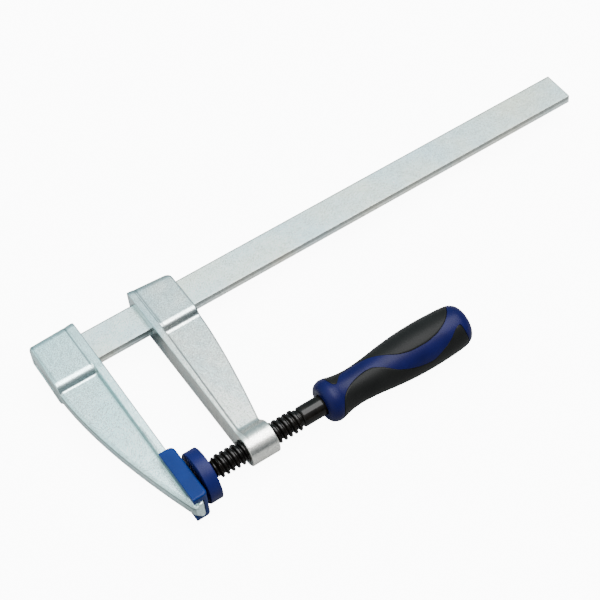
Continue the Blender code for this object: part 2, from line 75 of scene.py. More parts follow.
def skin_of(field, low, high, cell):
    """Vertices and quads of the surface where field is 0, on a grid of that cell, by surface nets."""
    counts = [int(math.ceil((b - a) / cell)) + 1 for a, b in zip(low, high)]
    axes = [a + cell * np.arange(n) for a, n in zip(low, counts)]
    grid = np.stack(np.meshgrid(*axes, indexing="ij"), axis=-1)
    value = field(grid.reshape(-1, 3)).reshape(counts)
    inside = value < 0

    def corner(array, i, j, k):
        n = array.shape
        return array[i : n[0] - 1 + i, j : n[1] - 1 + j, k : n[2] - 1 + k]

    total = np.zeros([n - 1 for n in counts] + [3])
    hits = np.zeros([n - 1 for n in counts])
    for axis in range(3):
        step = [0, 0, 0]
        step[axis] = 1
        for u in (0, 1):
            for v in (0, 1):
                start = [u, v]
                start.insert(axis, 0)
                end = [s + d for s, d in zip(start, step)]
                va, vb = corner(value, *start), corner(value, *end)
                cut = corner(inside, *start) != corner(inside, *end)
                share = np.where(cut, va / np.where(va == vb, 1, va - vb), 0)
                for c in range(3):
                    total[..., c] += np.where(cut, start[c] + step[c] * share, 0)
                hits += cut
    used = hits > 0
    index = np.full(used.shape, -1, np.int64)
    index[used] = np.arange(used.sum())
    cells = np.argwhere(used)
    verts = np.array(low) + cell * (cells + total[used] / hits[used][:, None])

    quads = []
    for axis in range(3):
        b, c = (axis + 1) % 3, (axis + 2) % 3
        first = np.take(inside, range(counts[axis] - 1), axis)
        second = np.take(inside, range(1, counts[axis]), axis)
        for flip, mask in ((False, first & ~second), (True, ~first & second)):
            at = np.argwhere(mask)
            at = at[(at[:, b] > 0) & (at[:, c] > 0) & (at[:, b] < counts[b] - 1) & (at[:, c] < counts[c] - 1)]
            ring = []
            for db, dc in ((-1, -1), (0, -1), (0, 0), (-1, 0)):
                near = at.copy()
                near[:, b] += db
                near[:, c] += dc
                ring.append(index[near[:, 0], near[:, 1], near[:, 2]])
            quads.append(np.stack(ring[::-1] if flip else ring, axis=1))
    quads = np.concatenate(quads)

    for _ in range(3):
        here, slope = field(verts), gradient(field, verts)
        size = np.maximum((slope**2).sum(1), 0.05)
        move = slope * (here / size)[:, None]
        verts -= np.clip(move, -0.5 * cell, 0.5 * cell)
    return verts, quads


def gradient(field, points, h=0.02):
    """The field's slope at the points, from its values h to either side."""
    out = np.empty_like(points)
    for c in range(3):
        d = np.zeros(3)
        d[c] = h
        out[:, c] = (field(points + d) - field(points - d)) / (2 * h)
    return out


# ---------------------------------------------------------------- meshes


def add_mesh(name, verts, faces, material, body, nodes=(), attribute=None, normals=None):
    """A mesh piece from vertices in millimetres, riding on a body in place of the CAD nodes it replaces."""
    mesh = bpy.data.meshes.new(name)
    mesh.from_pydata([tuple(v * MM) for v in verts], [], [tuple(int(i) for i in f) for f in faces])
    mesh.validate()
    mesh.update()
    mesh.shade_smooth()
    obj = bpy.data.objects.new(name, mesh)
    bpy.context.scene.collection.objects.link(obj)
    mesh.materials.append(material)
    # attribute is painted shade, stored as the shade attribute that the zinc materials read
    if attribute is not None:
        layer = mesh.attributes.new("shade", "FLOAT", "POINT")
        layer.data.foreach_set("value", np.asarray(attribute, np.float32))
    if normals is not None:
        mesh.normals_split_custom_set_from_vertices([tuple(n) for n in normals])
    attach(obj, body)
    if nodes:
        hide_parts(*nodes)
    return obj


def field_piece(name, field, low, high, cell, material, body, nodes, shade=None):
    """A piece whose surface and normals come from a distance field between the corners low and high."""
    verts, quads = skin_of(field, low, high, cell)
    slope = gradient(field, verts)
    normals = slope / np.maximum(np.linalg.norm(slope, axis=1), 1e-9)[:, None]
    attribute = shade(verts) if shade else None
    return add_mesh(name, verts, quads, material, body, nodes, attribute, normals)


def grid_faces(rows, columns, closed):
    """Quads between neighbouring rows of points; closed joins the last column to the first."""
    faces = []
    across = columns if closed else columns - 1
    for i in range(rows - 1):
        for j in range(across):
            k = (j + 1) % columns
            faces.append((i * columns + j, i * columns + k, (i + 1) * columns + k, (i + 1) * columns + j))
    return faces


def lathe_points(profile, columns):
    """Points about the X axis; angle 0 is +Z and grows towards -Y."""
    angle = TURN * np.arange(columns) / columns
    profile = np.asarray(profile, float)
    x = np.repeat(profile[:, :1], columns, axis=1)
    r = profile[:, 1:2]
    return np.stack([x, -r * np.sin(angle), r * np.cos(angle)], axis=-1)


def rounded(points, radius, steps=5):
    """The (x, r) outline with each inner corner turned into an arc-like curve of about that radius."""
    out = [points[0]]
    for before, here, after in zip(points, points[1:], points[2:]):
        here = np.array(here, float)
        a = np.array(before, float) - here
        b = np.array(after, float) - here
        la, lb = np.linalg.norm(a), np.linalg.norm(b)
        reach = min(radius, la * 0.49, lb * 0.49)
        p, q = here + a / la * reach, here + b / lb * reach
        for i in range(steps + 1):
            t = i / steps
            out.append(tuple((1 - t) ** 2 * p + 2 * t * (1 - t) * here + t * t * q))
    out.append(points[-1])
    return out


def lathe_piece(name, profile, columns, material, body, nodes):
    """A piece turned about the X axis from its (x, r) profile."""
    points = lathe_points(profile, columns)
    faces = [f[::-1] for f in grid_faces(len(points), columns, True)]
    obj = add_mesh(name, points.reshape(-1, 3), faces, material, body, nodes)
    return clean_up(obj)


def clean_up(obj):
    """Merges doubled points, turns the faces outwards and keeps edges over 40 degrees crisp."""
    bm = bmesh.new()
    bm.from_mesh(obj.data)
    bmesh.ops.remove_doubles(bm, verts=bm.verts, dist=1e-7)
    bmesh.ops.recalc_face_normals(bm, faces=bm.faces)
    bm.to_mesh(obj.data)
    bm.free()
    obj.data.shade_smooth()
    obj.data.set_sharp_from_angle(angle=math.radians(40))
    return obj


# ---------------------------------------------------------------- materials


class Nodes:
    """A material under construction; new() adds a node and sets its inputs."""

    def __init__(self, name):
        self.material = bpy.data.materials.new(name)
        self.material.use_nodes = True
        self.tree = self.material.node_tree
        self.shader = self.tree.nodes["Principled BSDF"]
        self.place = self.new("ShaderNodeTexCoord").outputs["Object"]

    def feed(self, socket, value):
        """Links another node's output to the socket, or sets the socket to a plain value."""
        if isinstance(value, bpy.types.NodeSocket):
            self.tree.links.new(value, socket)
        else:
            socket.default_value = value

    def new(self, kind, props=None, **inputs):
        node = self.tree.nodes.new(kind)
        for key, value in (props or {}).items():
            setattr(node, key, value)
        for key, value in inputs.items():
            self.feed(node.inputs[key.replace("_", " ")], value)
        return node

    def set(self, **inputs):
        for key, value in inputs.items():
            self.feed(self.shader.inputs[key.replace("_", " ")], value)

    def noise(self, scale, detail=2.0, roughness=0.5):
        inputs = {"Vector": self.place, "Scale": scale, "Detail": detail, "Roughness": roughness}
        return self.new("ShaderNodeTexNoise", **inputs).outputs["Fac"]

    def ramp(self, value, low, high, out_low, out_high):
        """value taken from the range low to high to the range out_low to out_high, and held inside it."""
        node = self.new("ShaderNodeMapRange", Value=value)
        for key, number in (("From Min", low), ("From Max", high), ("To Min", out_low), ("To Max", out_high)):
            node.inputs[key].default_value = number
        return node.outputs["Result"]

    def maths(self, operation, a, b):
        node = self.tree.nodes.new("ShaderNodeMath")
        node.operation = operation
        for socket, value in zip(node.inputs, (a, b)):
            self.feed(socket, value)
        return node.outputs[0]

    def mix(self, factor, a, b):
        """The colour a where factor is 0 and b where it is 1."""
        node = self.tree.nodes.new("ShaderNodeMix")
        node.data_type = "RGBA"
        self.feed(node.inputs[0], factor)
        self.feed(node.inputs[6], (*a, 1.0))
        self.feed(node.inputs[7], (*b, 1.0))
        return node.outputs[2]

    def bump(self, height, strength, distance):
        node = self.new("ShaderNodeBump", Height=height, Strength=strength, Distance=distance)
        return node.outputs["Normal"]


def zinc(name, cool, warm, drift, cool_from=0.0, warm_from=0.0, speckle=0.62):
    """Speckled zinc: cool and warm are the two tints that drift into each other over the piece.

    Where cool_from and warm_from differ, the piece also turns from warm to cool between those Y positions.
    speckle is how much its crystals differ in brightness.
    """
    m = Nodes(name)
    grain = m.noise(2100, 2, 0.6)
    crystal = m.noise(3600, 2, 0.6)
    cloud = m.noise(drift, 3, 0.55)
    stain = m.noise(170, 3, 0.6)
    if cool_from != warm_from:
        along = m.new("ShaderNodeSeparateXYZ", Vector=m.place).outputs["Y"]
        cloud = m.maths("ADD", cloud, m.ramp(along, warm_from, cool_from, 0.14, -0.14))
    tint = m.mix(m.ramp(cloud, 0.36, 0.64, 0.0, 1.0), cool, warm)
    light = m.ramp(grain, 0.28, 0.72, 0.92 - speckle, 0.92 + speckle)
    light = m.maths("ADD", light, m.ramp(crystal, 0.30, 0.70, -0.2, 0.2))
    light = m.maths("MULTIPLY", light, m.ramp(stain, 0.35, 0.65, 0.92, 1.06))
    # The mesh's shade attribute is painted shade and painted dark reflections; it darkens the colour here
    dark = m.new("ShaderNodeAttribute", {"attribute_name": "shade"}).outputs["Fac"]
    light = m.maths("MULTIPLY", light, m.ramp(dark, 0.0, 1.0, 1.0, 0.22))
    scaled = m.new("ShaderNodeVectorMath", {"operation": "SCALE"})
    m.tree.links.new(tint, scaled.inputs[0])
    m.tree.links.new(light, scaled.inputs["Scale"])
    m.set(
        Base_Color=scaled.outputs["Vector"],
        Metallic=0.95,
        Roughness=m.ramp(grain, 0.3, 0.7, 0.31, 0.19),
        Normal=m.bump(grain, 0.45, 0.00011),
    )
    return m.material


def plastic(name, colour, rough, coarse, bump, gloss):
    """Moulded plastic: coarse is its grain's scale, bump the grain's depth, gloss the specular level."""
    m = Nodes(name)
    grain = m.noise(coarse, 3, 0.55)
    patch = m.noise(60, 2, 0.5)
    darker = [c * 0.85 for c in colour]
    lighter = [min(c * 1.15, 1) for c in colour]
    m.set(
        Base_Color=m.mix(m.ramp(patch, 0.3, 0.7, 0.0, 1.0), darker, lighter),
        Roughness=m.ramp(grain, 0.3, 0.7, rough - 0.02, rough + 0.03),
        Normal=m.bump(grain, bump, 0.0001),
    )
    m.shader.inputs["Specular IOR Level"].default_value = gloss
    return m.material


def black_steel():
    """Blackened steel with an oily shine."""
    m = Nodes("black_steel")
    grain = m.noise(1800, 2, 0.5)
    patch = m.noise(160, 3, 0.55)
    colour = m.mix(m.ramp(patch, 0.4, 0.7, 0.0, 1.0), (0.002, 0.0017, 0.0015), (0.006, 0.0048, 0.004))
    m.set(
        Base_Color=colour,
        Metallic=0.0,
        Roughness=m.ramp(patch, 0.3, 0.7, 0.12, 0.2),
        Normal=m.bump(grain, 0.12, 0.00005),
    )
    m.shader.inputs["Specular IOR Level"].default_value = 0.15
    return m.material


def bright_wire():
    """Drawn spring wire."""
    m = Nodes("bright_wire")
    grain = m.noise(1200, 2, 0.5)
    m.set(
        Base_Color=m.mix(m.ramp(grain, 0.3, 0.7, 0.0, 1.0), (0.42, 0.42, 0.43), (0.52, 0.52, 0.53)),
        Metallic=1.0,
        Roughness=m.ramp(grain, 0.3, 0.7, 0.25, 0.38),
    )
    return m.material


cast_grey = zinc("cast_zinc", (0.52, 0.70, 0.71), (0.56, 0.69, 0.69), 30)
cast_grey_sliding = zinc(
    "cast_zinc_sliding", (0.42, 0.53, 0.55), (0.66, 0.65, 0.61), 24, cool_from=0.125, warm_from=0.07
)
rail_grey = zinc("bar_zinc", (0.70, 0.83, 0.86), (0.88, 0.86, 0.73), 16, speckle=0.55)
cap_blue = plastic("cap_blue", (0.0009, 0.0118, 0.080), 0.38, 900, 0.1, 0.085)
pad_violet = plastic("pad_violet", (0.0035, 0.0055, 0.050), 0.42, 900, 0.015, 0.10)
handle_blue = plastic("handle_blue", (0.0030, 0.0034, 0.033), 0.36, 1100, 0.06, 0.08)
grip_black = plastic("grip_black", (0.0050, 0.0052, 0.0051), 0.42, 1400, 0.15, 0.075)
spindle_black = black_steel()
wire = bright_wire()

# ---------------------------------------------------------------- bar

BAR_LOW, BAR_HIGH = [np.array(c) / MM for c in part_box("bar")]
EDGE_RADIUS = 0.22
STATION_STEP = 8.0


def make_bar():
    """A rolled bar with crisp edges. shade paints dark reflections along its long edges, darkens the rims at
    both ends and paints shade over the upper half of its narrow sides.
    """
    middle_y = (BAR_HIGH[1] + BAR_LOW[1]) / 2
    half_y = (BAR_HIGH[1] - BAR_LOW[1]) / 2
    half_z = (BAR_HIGH[2] - BAR_LOW[2]) / 2
    radius = EDGE_RADIUS
    section = []
    # dark: the painted dark reflection at each long edge, carried on as painted shade down the upper half of
    # the narrow side below it
    for cy, cz, first, dark in ((1, 1, 0, 1.0), (-1, 1, 90, 0.8), (-1, -1, 180, 0.0), (1, -1, 270, 0.5)):
        corner = []
        for i in range(4):
            a = math.radians(first + 30 * i)
            y = cy * (half_y - radius) + radius * math.cos(a)
            corner.append((y, cz * (half_z - radius) + radius * math.sin(a), dark))
        # line paints a dark reflection just inside the outer top edge
        line = 0.9 if (cy, cz) == (1, 1) else 0.0
        across = [(cy * (half_y - 0.7), cz * half_z, line), (cy * (half_y - 1.2), cz * half_z, 0.0)]
        down = [(cy * half_y, cz * (half_z - 0.7), dark), (cy * half_y, cz * 0.5, 0.85 * dark)]
        section += down[::-1] + corner + across if cy == cz else across[::-1] + corner + down
    end = BAR_HIGH[0]
    start = BAR_LOW[0]
    # The rims at both ends are drawn darker
    stations = [(start, 0.3, 0.4), (start + 0.1, 0.08, 0.4), (start + 0.3, 0.0, 0.0)]
    steps = int((end - start - 12) / STATION_STEP)
    stations += [(start + STATION_STEP + i * STATION_STEP, 0.0, 0.0) for i in range(steps)]
    stations += [(end - 1.0, 0.0, 0.0), (end - 0.25, 0.0, 0.4), (end - 0.08, 0.08, 0.5), (end, 0.3, 0.4)]
    points = []
    shade = []
    for x, inset, dark in stations:
        for y, z, edge in section:
            points.append((x, middle_y + y * (1 - inset / half_y), z * (1 - inset / half_z)))
            shade.append(max(dark, edge))
    count = len(section)
    faces = [f[::-1] for f in grid_faces(len(stations), count, True)]
    faces.append(tuple(range(count)))
    last = (len(stations) - 1) * count
    faces.append(tuple(last + i for i in reversed(range(count))))
    points = np.array(points)
    obj = add_mesh("bar_rail", points, faces, rail_grey, "bar_and_fixed_jaw", ["bar"], shade)
    return clean_up(obj)


make_bar()

# ---------------------------------------------------------------- fixed jaw

# Both castings: half thickness of the arm's web, of its thin outer band and of the head
WEB = 5.5
BAND = 3.35
HEAD = 10.7
TOP_Y = 149.4
TIP_Y = -21.8
# Fixed jaw: the plane behind the cap, and the groove beside the rib
FACE_X = -4.0
FIXED_GROOVE_X = -11.05


def from_edge(edge, x, y):
    """Distance of (x, y) from the curve x = edge(y), positive towards +X."""
    h = 0.5
    slope = (edge(y + h) - edge(y - h)) / (2 * h)
    return (x - edge(y)) / np.sqrt(1 + slope**2)


def bump_at(x, middle, width):
    """A hump of height 1 at middle that fades over width to either side."""
    return np.exp(-(((x - middle) / width) ** 2))


def fixed_edge(y):
    """X of the arm's outer edge at y."""
    t = np.clip((105 - y) / 119, 0, 1.12)
    return -39.0 + 25 * t**1.6


def fixed_top(x):
    """Y of the head's slightly sloping top."""
    return TOP_Y - (FACE_X - x) * 0.035


def fixed_rib_half(y, foot):
    """Half the rib's width, which grows from foot at the tip towards the head."""
    return foot + 3.7 * np.clip((y + 21) / 125.4, 0, 1)


def fixed_jaw_field(p):
    """The fixed casting: an arm with a stepped outer band, a rib along the throat and a thick head."""
    x, y, z = p.T
    az = np.abs(z)
    inward = from_edge(fixed_edge, x, y)
    web = az - (BAND + (WEB - BAND) * rise(inward / 3.2))
    rib_half = fixed_rib_half(y, 7.3)
    rib_left = -10.7 + 2.6 * ease((-10 - y) / 10)
    top = fixed_top(x)
    crown = 0.5 * ease((y - top + 5.0) / 5.0)
    rib = smooth_max(az - rib_half + crown, (rib_left - x) * 0.97 + (az - WEB) * 0.18, 0.7)
    ramp = (y - 108.4) * -0.866 + (az - HEAD) * 0.5
    corner = 3.2 * ease((y - 106) / 30)
    groove = 0.3 * bump_at(x, FIXED_GROOVE_X, 0.4)
    head_top = az - (HEAD - crown - groove - corner * (1 - rise(inward / 2.2)))
    head = smooth_max(head_top, ramp, 3.0)
    section = np.minimum(smooth_min(web, head, 1.2), smooth_min(web, rib, 1.5))
    plan = smooth_max(smooth_max(x - FACE_X, TIP_Y - y, 2.8), -inward, 3.4)
    body = smooth_max(plan, section, 1.1)
    body = smooth_max(body, y - top, 2.0)
    slot = np.maximum(np.abs(y - 129.9) - 12.65, az - 3.65)
    return np.maximum(body, -slot)


def fixed_shade(v):
    """Where the zinc is drawn darker, mostly as painted shade.

    These are painted shade in the crease along the outer band and round the tip, in the groove, on the rib's
    wall, along the head's flank and on the web beside the cap, a painted dark reflection along the top edge
    and a faint line across the arm.
    """
    x, y, z = v.T
    az = np.abs(z)
    inward = np.minimum(from_edge(fixed_edge, x, y), y - TIP_Y)
    # painted shade in the crease along the outer band and round the tip
    crease = bump_at(az, BAND + 0.2, 0.42) * (inward < 1.6) * (y < 104) * (x < -8.5)
    # painted shade in the groove beside the rib on the head
    groove = bump_at(x, FIXED_GROOVE_X, 0.45) * (az > 9.0) * (y > 106)
    # painted shade on the web beside the cap, where the cap shades it
    cap_shade = bump_at(x, -10.8, 4.2) * ease((27 - y) / 8) * (x < -10.5)
    across = bump_at(y, 25.0, 0.4) * (np.abs(x + 17) < 6.6) * (az > 5.2)
    # painted shade on the rib's wall
    wall = (az > WEB + 0.5) * (az < 9.4) * (x > -12.0) * (x < -8.0) * (y < 104)
    # painted shade along the crease of the head's flank
    flank = 0.55 * bump_at(inward, 2.3, 0.5) * (y > 108) * (az > 6.0)
    top = fixed_top(x)
    # painted dark reflection along the top edge
    rim = 0.3 * ease((y - top + 3.8) / 0.8) + 0.5 * ease((y - top + 0.9) / 0.5)
    # all the painted shade and the painted reflection, with the faint line across the arm
    painted_shade = 0.85 * crease + 0.6 * groove + 0.5 * cap_shade + 0.25 * across + 0.55 * wall + flank + rim
    return np.clip(painted_shade, 0, 1)


field_piece(
    "fixed_jaw_casting",
    fixed_jaw_field,
    (-41.0, -26.0, -12.6),
    (-2.6, 151.6, 12.6),
    0.5,
    cast_grey,
    "bar_and_fixed_jaw",
    ["fixed_jaw"],
    fixed_shade,
)

# ---------------------------------------------------------------- fixed jaw cap


def cap_field(p):
    """The plastic channel that clips over the rib at the tip."""
    x, y, z = p.T
    az = np.abs(z)
    low, high = -20.0, 23.2
    plan = smooth_max(smooth_max(x, y - high, 4.4), low - y, 3.6)
    body = smooth_max(plan, az - 13.0, 1.6)
    body = smooth_max(body, -10.75 - x, 0.4)
    rib_half = fixed_rib_half(y, 7.6)
    channel = smooth_max(az - rib_half, x + 3.7, 0.8)
    return smooth_max(body, -channel, 0.4)


field_piece(
    "jaw_cap",
    cap_field,
    (-12.0, -21.6, -14.4),
    (1.4, 24.8, 14.4),
    0.4,
    cap_blue,
    "bar_and_fixed_jaw",
    ["fixed_jaw_cap"],
)

# ---------------------------------------------------------------- sliding jaw

SLIDE_X = 38.0
SLIDING_GROOVE_X = 44.4
BOSS_RADIUS = 11.6
BORE_RADIUS = 8.2


def sliding_edge(y):
    """X of the arm's outer edge at y."""
    t = np.clip((107 - y) / 95.7, 0, 1.3)
    return 71.9 - 13.4 * t**1.45


def sliding_top(x):
    """Y of the head's slightly sloping top."""
    return TOP_Y - (x - SLIDE_X) * 0.075


def sliding_jaw_field(p):
    """The sliding casting: a head with the bar's eye, an arm with a rib, and a bored boss for the spindle."""
    x, y, z = p.T
    az = np.abs(z)
    outer = from_edge(sliding_edge, x, y)
    web = az - (4.4 + 1.1 * rise(-outer / 1.8))
    rib_edge = 44.0 - 2.6 * np.clip((108 - y) / 96, 0, 1)
    rib_half = 10.4 + 0.6 * np.clip(y / 108, 0, 1)
    top = sliding_top(x)
    crown = 0.5 * ease((y - top + 5.0) / 5.0)
    rib = smooth_max(az - rib_half + crown, (x - rib_edge) * 0.97 + (az - WEB) * 0.18, 0.7)
    ramp = (y - 109.6) * -0.9 + (az - HEAD) * 0.436
    groove = 0.25 * bump_at(x, SLIDING_GROOVE_X, 0.4)
    head = smooth_max(az - (HEAD - crown - groove), ramp, 3.0)
    section = np.minimum(smooth_min(web, head, 2.0), smooth_min(web, rib, 1.3))
    arm = smooth_max(section, outer, 1.1)
    arm = smooth_max(arm, smooth_max(y - top, outer + 0.6, 5.0), 2.2)
    arm = np.maximum(arm, -y)
    r = np.sqrt(y**2 + z**2)
    boss = smooth_max(r - BOSS_RADIUS, x - 59.0, 1.0)
    body = smooth_min(arm, boss, 3.2)
    body = smooth_max(body, SLIDE_X - x, 1.0)
    eye = np.maximum(np.abs(y - 129.65) - 13.15, az - 3.9)
    return np.maximum(np.maximum(body, -eye), BORE_RADIUS - r)


def sliding_shade(v):
    """Painted shade in the groove beside the rib on the head and on the rib's wall, and a painted dark
    reflection round the top edge.
    """
    x, y, z = v.T
    az = np.abs(z)
    # painted shade in the groove beside the rib on the head
    groove = 0.45 * bump_at(x, SLIDING_GROOVE_X, 0.45) * (az > 9.0) * (y > 108)
    # painted shade on the rib's wall
    wall = 0.35 * (az > WEB + 0.5) * (az < 9.4) * (x > 40.5) * (x < 45.5) * (y < 106) * (y > 14)
    top = sliding_top(x)
    # painted dark reflection round the top edge
    rim = 0.25 * ease((y - (top - 3.8)) / 0.8) + 0.5 * ease((y - (top - 0.9)) / 0.5)
    return np.clip(groove + wall + rim, 0, 1)


field_piece(
    "sliding_jaw_casting",
    sliding_jaw_field,
    (36.6, -13.2, -12.8),
    (74.0, 151.8, 12.8),
    0.5,
    cast_grey_sliding,
    "sliding_arm",
    ["sliding_jaw"],
    sliding_shade,
)

# ---------------------------------------------------------------- spindle

PITCH = 4.0
# Radii of the thread's crest and root, the smooth shank and the tang
CREST, ROOT = 7.9, 5.9
SHANK, TANG = 7.15, 5.4
THREAD_FROM, THREAD_TO = 15.0, 81.0


def thread_rise(x, angle):
    """Height of the thread over its root; it fades in and out at its two ends."""
    phase = TURN * x / PITCH - angle
    wave = 0.5 + 0.5 * np.cos(phase)
    run = np.clip(np.minimum(x - THREAD_FROM, THREAD_TO - x) / 3.0, 0, 1)
    return (CREST - ROOT) * ease(1.18 * wave) * ease(run)


def make_spindle():
    """The ball and its neck, the thread, the smooth shank and the tang inside the handle."""
    columns = 64
    ball_x, ball_r = 9.7, 3.9
    outline = []
    for i in range(13):
        a = math.radians(4 + i * 11.2)
        outline.append((ball_x - ball_r * math.cos(a), ball_r * math.sin(a)))
    outline += [(13.8, 2.6), (14.65, 5.15), (14.85, 5.6)]
    run = THREAD_TO - THREAD_FROM
    steps = int(run / 0.25)
    outline += [(THREAD_FROM + run * i / steps, ROOT) for i in range(steps + 1)]
    outline += [(81.4, 6.4), (81.8, 6.95), (82.2, 7.12)]
    outline += [(x, SHANK) for x in (82.8, 90.0, 98.0, 106.5)]
    outline += [(x, TANG) for x in (107.5, 150.0, 157.0)]
    outline += [(158.0, 4.4)]
    angle = TURN * np.arange(columns) / columns
    rows = []
    for x, radius in outline:
        r = np.full(columns, radius)
        if THREAD_FROM < x < THREAD_TO:
            r = r + thread_rise(x, angle)
        rows.append(np.stack([np.full(columns, x), r * np.cos(angle), r * np.sin(angle)], axis=-1))
    points = np.array(rows)
    faces = [f[::-1] for f in grid_faces(len(outline), columns, True)]
    faces.append(tuple(range(columns)))
    last = (len(outline) - 1) * columns
    faces.append(tuple(last + i for i in reversed(range(columns))))
    points = points.reshape(-1, 3)
    obj = add_mesh("threaded_spindle", points, faces, spindle_black, "screw", ["spindle"])
    return clean_up(obj)


make_spindle()

# ---------------------------------------------------------------- swivel pad

pad_cap_outline = rounded(
    [
        (3.9, 0.001),
        (3.9, 16.0),
        (9.9, 16.0),
        (9.9, 14.7),
        (11.2, 14.7),
        (11.2, 18.4),
        (2.1, 18.4),
        (2.1, 0.001),
    ],
    0.7,
)
lathe_piece("pad_cup", pad_cap_outline, 144, pad_violet, "pad", ["pad_cap"])

for node, material in (("swivel_pad", spindle_black), ("pad_retaining_ring", wire)):
    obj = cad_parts[node]
    obj.data.materials.clear()
    obj.data.materials.append(material)

# ---------------------------------------------------------------- handle

HANDLE_X = 98.5
# (distance from the handle's start, radius)
OUTLINE = (
    (0.0, 11.8), (1.0, 13.1), (3.0, 14.4), (6.0, 15.1), (9.0, 14.6), (12.5, 13.7), (18.0, 12.8), (25.0, 12.4),
    (33.0, 12.8), (41.0, 13.6), (50.0, 14.8), (60.0, 15.8), (71.0, 16.5), (82.0, 16.7), (93.0, 16.4),
    (102.0, 15.9), (107.5, 15.2), (110.5, 14.0), (113.0, 11.8), (114.4, 8.6), (115.0, 4.6),
)


def smooth_curve(points, at):
    """A smooth curve through (x, y) points, without overshoot, at the given x."""
    x, y = np.array(points, float).T
    h, d = np.diff(x), np.diff(y) / np.diff(x)
    m = np.empty(len(x))
    m[0], m[-1] = d[0], d[-1]
    w1, w2 = 2 * h[1:] + h[:-1], h[1:] + 2 * h[:-1]
    same = d[:-1] * d[1:] > 0
    safe = np.where(same, d[:-1], 1), np.where(same, d[1:], 1)
    m[1:-1] = np.where(same, (w1 + w2) / (w1 / safe[0] + w2 / safe[1]), 0)
    at = np.asarray(at, float)
    i = np.clip(np.searchsorted(x, at) - 1, 0, len(h) - 1)
    t = (at - x[i]) / h[i]
    return (
        (2 * t**3 - 3 * t**2 + 1) * y[i]
        + (t**3 - 2 * t**2 + t) * h[i] * m[i]
        + (3 * t**2 - 2 * t**3) * y[i + 1]
        + (t**3 - t**2) * h[i] * m[i + 1]
    )


def handle_radius(d):
    """The handle's radius at the distances d from its start."""
    return smooth_curve(OUTLINE, d)


PANEL_FROM, PANEL_TO = 7.4, 108.3
# (share of the way along the panel, angle in degrees) of a ribbon's lower and upper edge. The shares
# are spaced as panel_stations spaces them: close together near both ends.
LOWER = (
    (0, 107), (0.083, 65), (0.14, 42), (0.189, 29), (0.231, 20), (0.30, 10), (0.335, 8), (0.365, 10),
    (0.408, 24), (0.472, 53), (0.529, 67), (0.577, 74), (0.62, 77), (0.692, 66), (0.759, 52),
    (0.8205, 37), (0.8675, 32), (0.893, 34), (0.925, 62), (1, 116),
)
UPPER = (
    (0, -73), (0.045, -30), (0.09, -3), (0.13, 1), (0.145, -1), (0.18, -13), (0.228, -31), (0.27, -36),
    (0.32, -37), (0.373, -27), (0.418, -11), (0.452, 3), (0.503, 21), (0.562, 29), (0.622, 30),
    (0.684, 26), (0.76, 14), (0.833, -5), (0.91, -34), (1, -64),
)
PANEL_GAP = 0.25


def panel_angles(share, columns, inset_mm, radius):
    """Angles across a panel, from one ribbon's lower edge to the other's upper edge, drawn in by inset_mm."""
    low = np.radians(smooth_curve(LOWER, share))
    high = np.radians(smooth_curve(UPPER, share)) + math.pi
    inset = inset_mm / radius
    low, high = low + inset, high - inset
    middle = (low + high) / 2
    low, high = np.minimum(low, middle), np.maximum(high, middle)
    s = np.linspace(0, 1, columns)
    return low[:, None] + (high - low)[:, None] * s[None, :]


def on_handle(d, radius, angle):
    """Points about the handle's axis; angle 0 is +Z and grows towards -Y."""
    x = HANDLE_X + d + 0 * angle
    return np.stack([x, -radius * np.sin(angle), radius * np.cos(angle)], axis=-1)


def panel_stations(count):
    """Shares of the way along the panel, with distances that bunch up towards both ends."""
    t = np.arange(count) / (count - 1)
    return t, PANEL_FROM + (PANEL_TO - PANEL_FROM) * (1 - np.cos(math.pi * t)) / 2


def make_panel(name, node, half_turn):
    """A grip panel with softly rounded edges, standing flush in its pocket."""
    rows, columns = 150, 40
    t, d = panel_stations(rows)
    length = PANEL_TO - PANEL_FROM
    middle = (PANEL_FROM + PANEL_TO) / 2
    d = PANEL_FROM + PANEL_GAP + (d - PANEL_FROM) * (length - 2 * PANEL_GAP) / length
    layers = []
    for sunk, inset in ((2.4, 0.30), (0.5, PANEL_GAP), (0.14, 0.34), (0.0, 0.62)):
        radius = handle_radius(d) - sunk
        angle = panel_angles(t, columns, inset, radius) + half_turn
        drawn_in = middle + (d - middle) * (1 - 2 * max(inset - PANEL_GAP, 0) / length)
        layers.append(on_handle(drawn_in[:, None] + 0 * angle, radius[:, None], angle))
    count = rows * columns
    points = np.concatenate([layer.reshape(-1, 3) for layer in layers])
    sheet = grid_faces(rows, columns, False)
    faces = [tuple(3 * count + i for i in f) for f in sheet]
    faces += [f[::-1] for f in sheet]
    rim = list(range(columns))
    rim += [i * columns + columns - 1 for i in range(1, rows)]
    rim += [(rows - 1) * columns + j for j in range(columns - 2, -1, -1)]
    rim += [i * columns for i in range(rows - 2, 0, -1)]
    for layer in range(3):
        a, b = layer * count, (layer + 1) * count
        for i, here in enumerate(rim):
            after = rim[(i + 1) % len(rim)]
            faces.append((a + here, a + after, b + after, b + here))
    obj = add_mesh(name, points, faces, grip_black, "screw", [node])
    return clean_up(obj)


